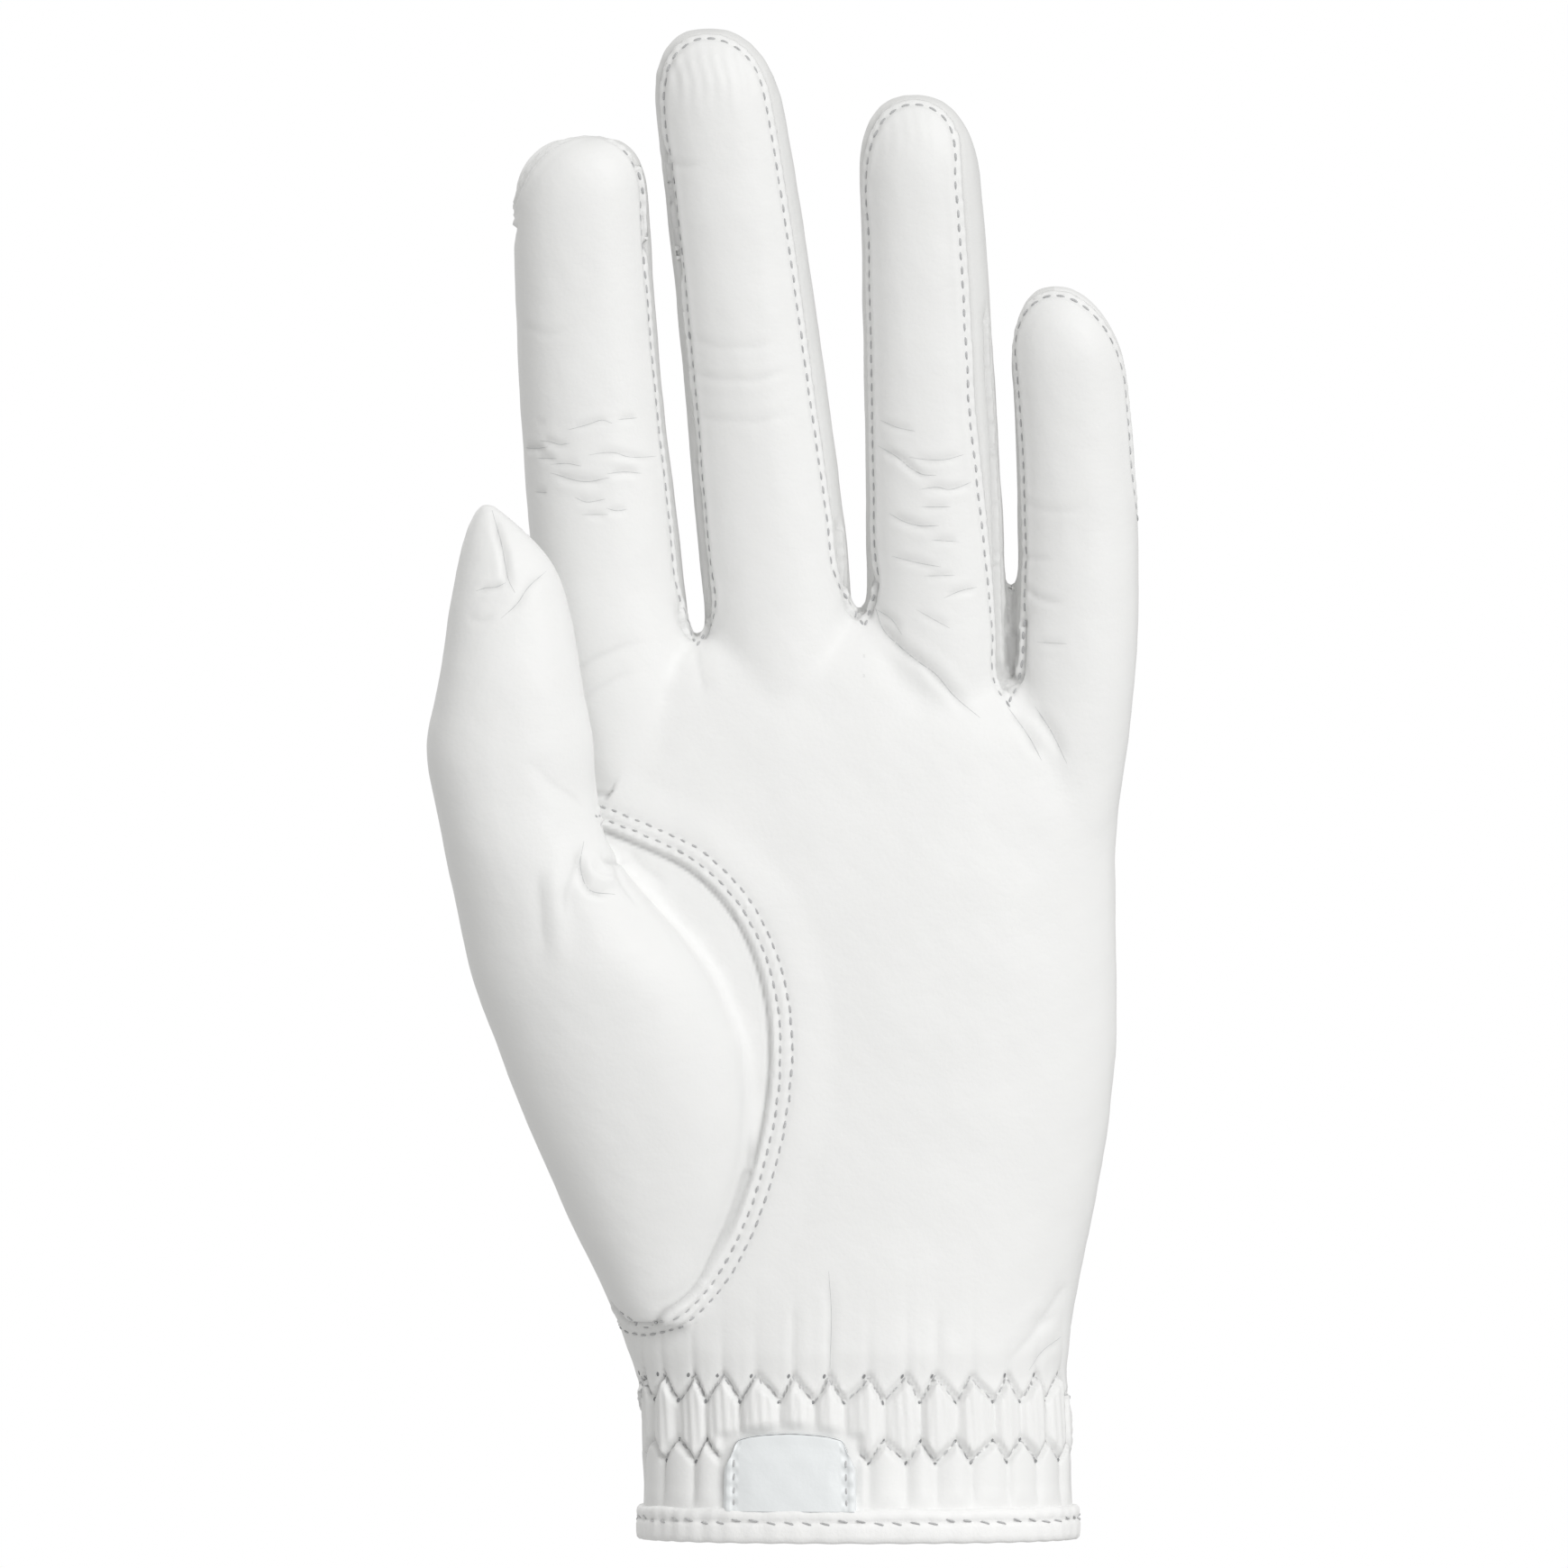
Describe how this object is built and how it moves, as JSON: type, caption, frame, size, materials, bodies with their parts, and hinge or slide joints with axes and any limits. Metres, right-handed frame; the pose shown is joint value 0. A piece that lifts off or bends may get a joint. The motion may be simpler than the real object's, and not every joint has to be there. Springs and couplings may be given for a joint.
{
  "type": "golf glove",
  "caption": "Left-hand leather golf glove in its worn shape, palm in front: jointed fingers and thumb, shirred elastic wrist and a closure tab at the back.",
  "frame": {"origin": "centre of the cuff rim, in the plane of its edge", "axes": "+Z from the cuff to the fingertips, +X towards the little finger, -Y out of the palm, +Y out of the back of the hand"},
  "size_m": [0.1099, 0.052, 0.2348],
  "materials": {
    "palm_leather": "soft matt leather",
    "back_leather": "soft matt leather, finely perforated on the fingers",
    "fourchette_leather": "soft matt leather",
    "patch_leather": "smooth coated leather",
    "tab_leather": "smooth coated leather",
    "binding": "folded edge tape",
    "elastic": "woven elastic",
    "loop_pile": "looped pile",
    "hook_plastic": "moulded hooks"
  },
  "bodies": {
    "hand": {"palm_panel": "palm_leather", "back_panel": "back_leather", "thumb_gusset": "palm_leather", "cuff_binding": "binding", "wrist_patch": "patch_leather", "wrist_elastic_upper": "elastic", "wrist_elastic_lower": "elastic", "slit_facing": "back_leather", "loop_pad": "loop_pile", "index_middle_crotch": "fourchette_leather", "middle_ring_crotch": "fourchette_leather", "ring_little_crotch": "fourchette_leather"},
    "tab": {"closure_tab": "tab_leather", "tab_lining": "back_leather", "hook_pad": "hook_plastic"},
    "index_lower": {"index_lower_front": "palm_leather", "index_lower_back": "back_leather", "index_lower_fourchette": "fourchette_leather"},
    "index_upper": {"index_upper_front": "palm_leather", "index_upper_back": "back_leather", "index_upper_fourchette": "fourchette_leather"},
    "middle_lower": {"middle_lower_front": "palm_leather", "middle_lower_back": "back_leather", "middle_lower_fourchette_index_side": "fourchette_leather", "middle_lower_fourchette_ring_side": "fourchette_leather"},
    "middle_upper": {"middle_upper_front": "palm_leather", "middle_upper_back": "back_leather", "middle_upper_fourchette_index_side": "fourchette_leather", "middle_upper_fourchette_ring_side": "fourchette_leather"},
    "ring_lower": {"ring_lower_front": "palm_leather", "ring_lower_back": "back_leather", "ring_lower_fourchette_middle_side": "fourchette_leather", "ring_lower_fourchette_little_side": "fourchette_leather"},
    "ring_upper": {"ring_upper_front": "palm_leather", "ring_upper_back": "back_leather", "ring_upper_fourchette_middle_side": "fourchette_leather", "ring_upper_fourchette_little_side": "fourchette_leather"},
    "little_lower": {"little_lower_front": "palm_leather", "little_lower_back": "back_leather", "little_lower_fourchette": "fourchette_leather"},
    "little_upper": {"little_upper_front": "palm_leather", "little_upper_back": "back_leather", "little_upper_fourchette": "fourchette_leather"},
    "thumb_lower": {"thumb_lower_front": "palm_leather", "thumb_lower_back": "palm_leather"},
    "thumb_upper": {"thumb_upper_front": "palm_leather", "thumb_upper_back": "palm_leather"}
  },
  "joints": [
    {"name": "index_knuckle", "type": "hinge", "parent": "hand", "child": "index_lower", "pos_m": [-0.03894, -0.01074, 0.155], "axis": [1, 0, 0], "range_deg": [0, 60]},
    {"name": "index_bend", "type": "hinge", "parent": "index_lower", "child": "index_upper", "pos_m": [-0.04081, -0.01095, 0.172], "axis": [1, 0, 0], "range_deg": [0, 40]},
    {"name": "middle_knuckle", "type": "hinge", "parent": "hand", "child": "middle_lower", "pos_m": [-0.01313, -0.01061, 0.154], "axis": [1, 0, 0], "range_deg": [0, 75]},
    {"name": "middle_bend", "type": "hinge", "parent": "middle_lower", "child": "middle_upper", "pos_m": [-0.0157, -0.01072, 0.178], "axis": [1, 0, 0], "range_deg": [0, 75]},
    {"name": "ring_knuckle", "type": "hinge", "parent": "hand", "child": "ring_lower", "pos_m": [0.01208, -0.01, 0.154], "axis": [1, 0, 0], "range_deg": [0, 75]},
    {"name": "ring_bend", "type": "hinge", "parent": "ring_lower", "child": "ring_upper", "pos_m": [0.01166, -0.01015, 0.172], "axis": [1, 0, 0], "range_deg": [0, 75]},
    {"name": "little_knuckle", "type": "hinge", "parent": "hand", "child": "little_lower", "pos_m": [0.03395, -0.00889, 0.148], "axis": [1, 0, 0], "range_deg": [0, 75]},
    {"name": "little_bend", "type": "hinge", "parent": "little_lower", "child": "little_upper", "pos_m": [0.03367, -0.00943, 0.166], "axis": [1, 0, 0], "range_deg": [0, 75]},
    {"name": "thumb_swing", "type": "hinge", "parent": "hand", "child": "thumb_lower", "pos_m": [-0.06536, -0.018, 0.1144], "axis": [0, -1, 0], "range_deg": [0, 30]},
    {"name": "thumb_bend", "type": "hinge", "parent": "thumb_lower", "child": "thumb_upper", "pos_m": [-0.05313, -0.02845, 0.133], "axis": [1, 0, 0], "range_deg": [0, 45]},
    {"name": "tab_hinge", "type": "hinge", "parent": "hand", "child": "tab", "pos_m": [-0.0129, 0.0203, 0.025], "axis": [0, 0, 1], "range_deg": [0, 120]}
  ],
  "couplings": [
    {"joint": "index_bend", "follows": "index_knuckle", "ratio": 0.6666},
    {"joint": "middle_bend", "follows": "middle_knuckle", "ratio": 1},
    {"joint": "ring_bend", "follows": "ring_knuckle", "ratio": 1},
    {"joint": "little_bend", "follows": "little_knuckle", "ratio": 1}
  ]
}
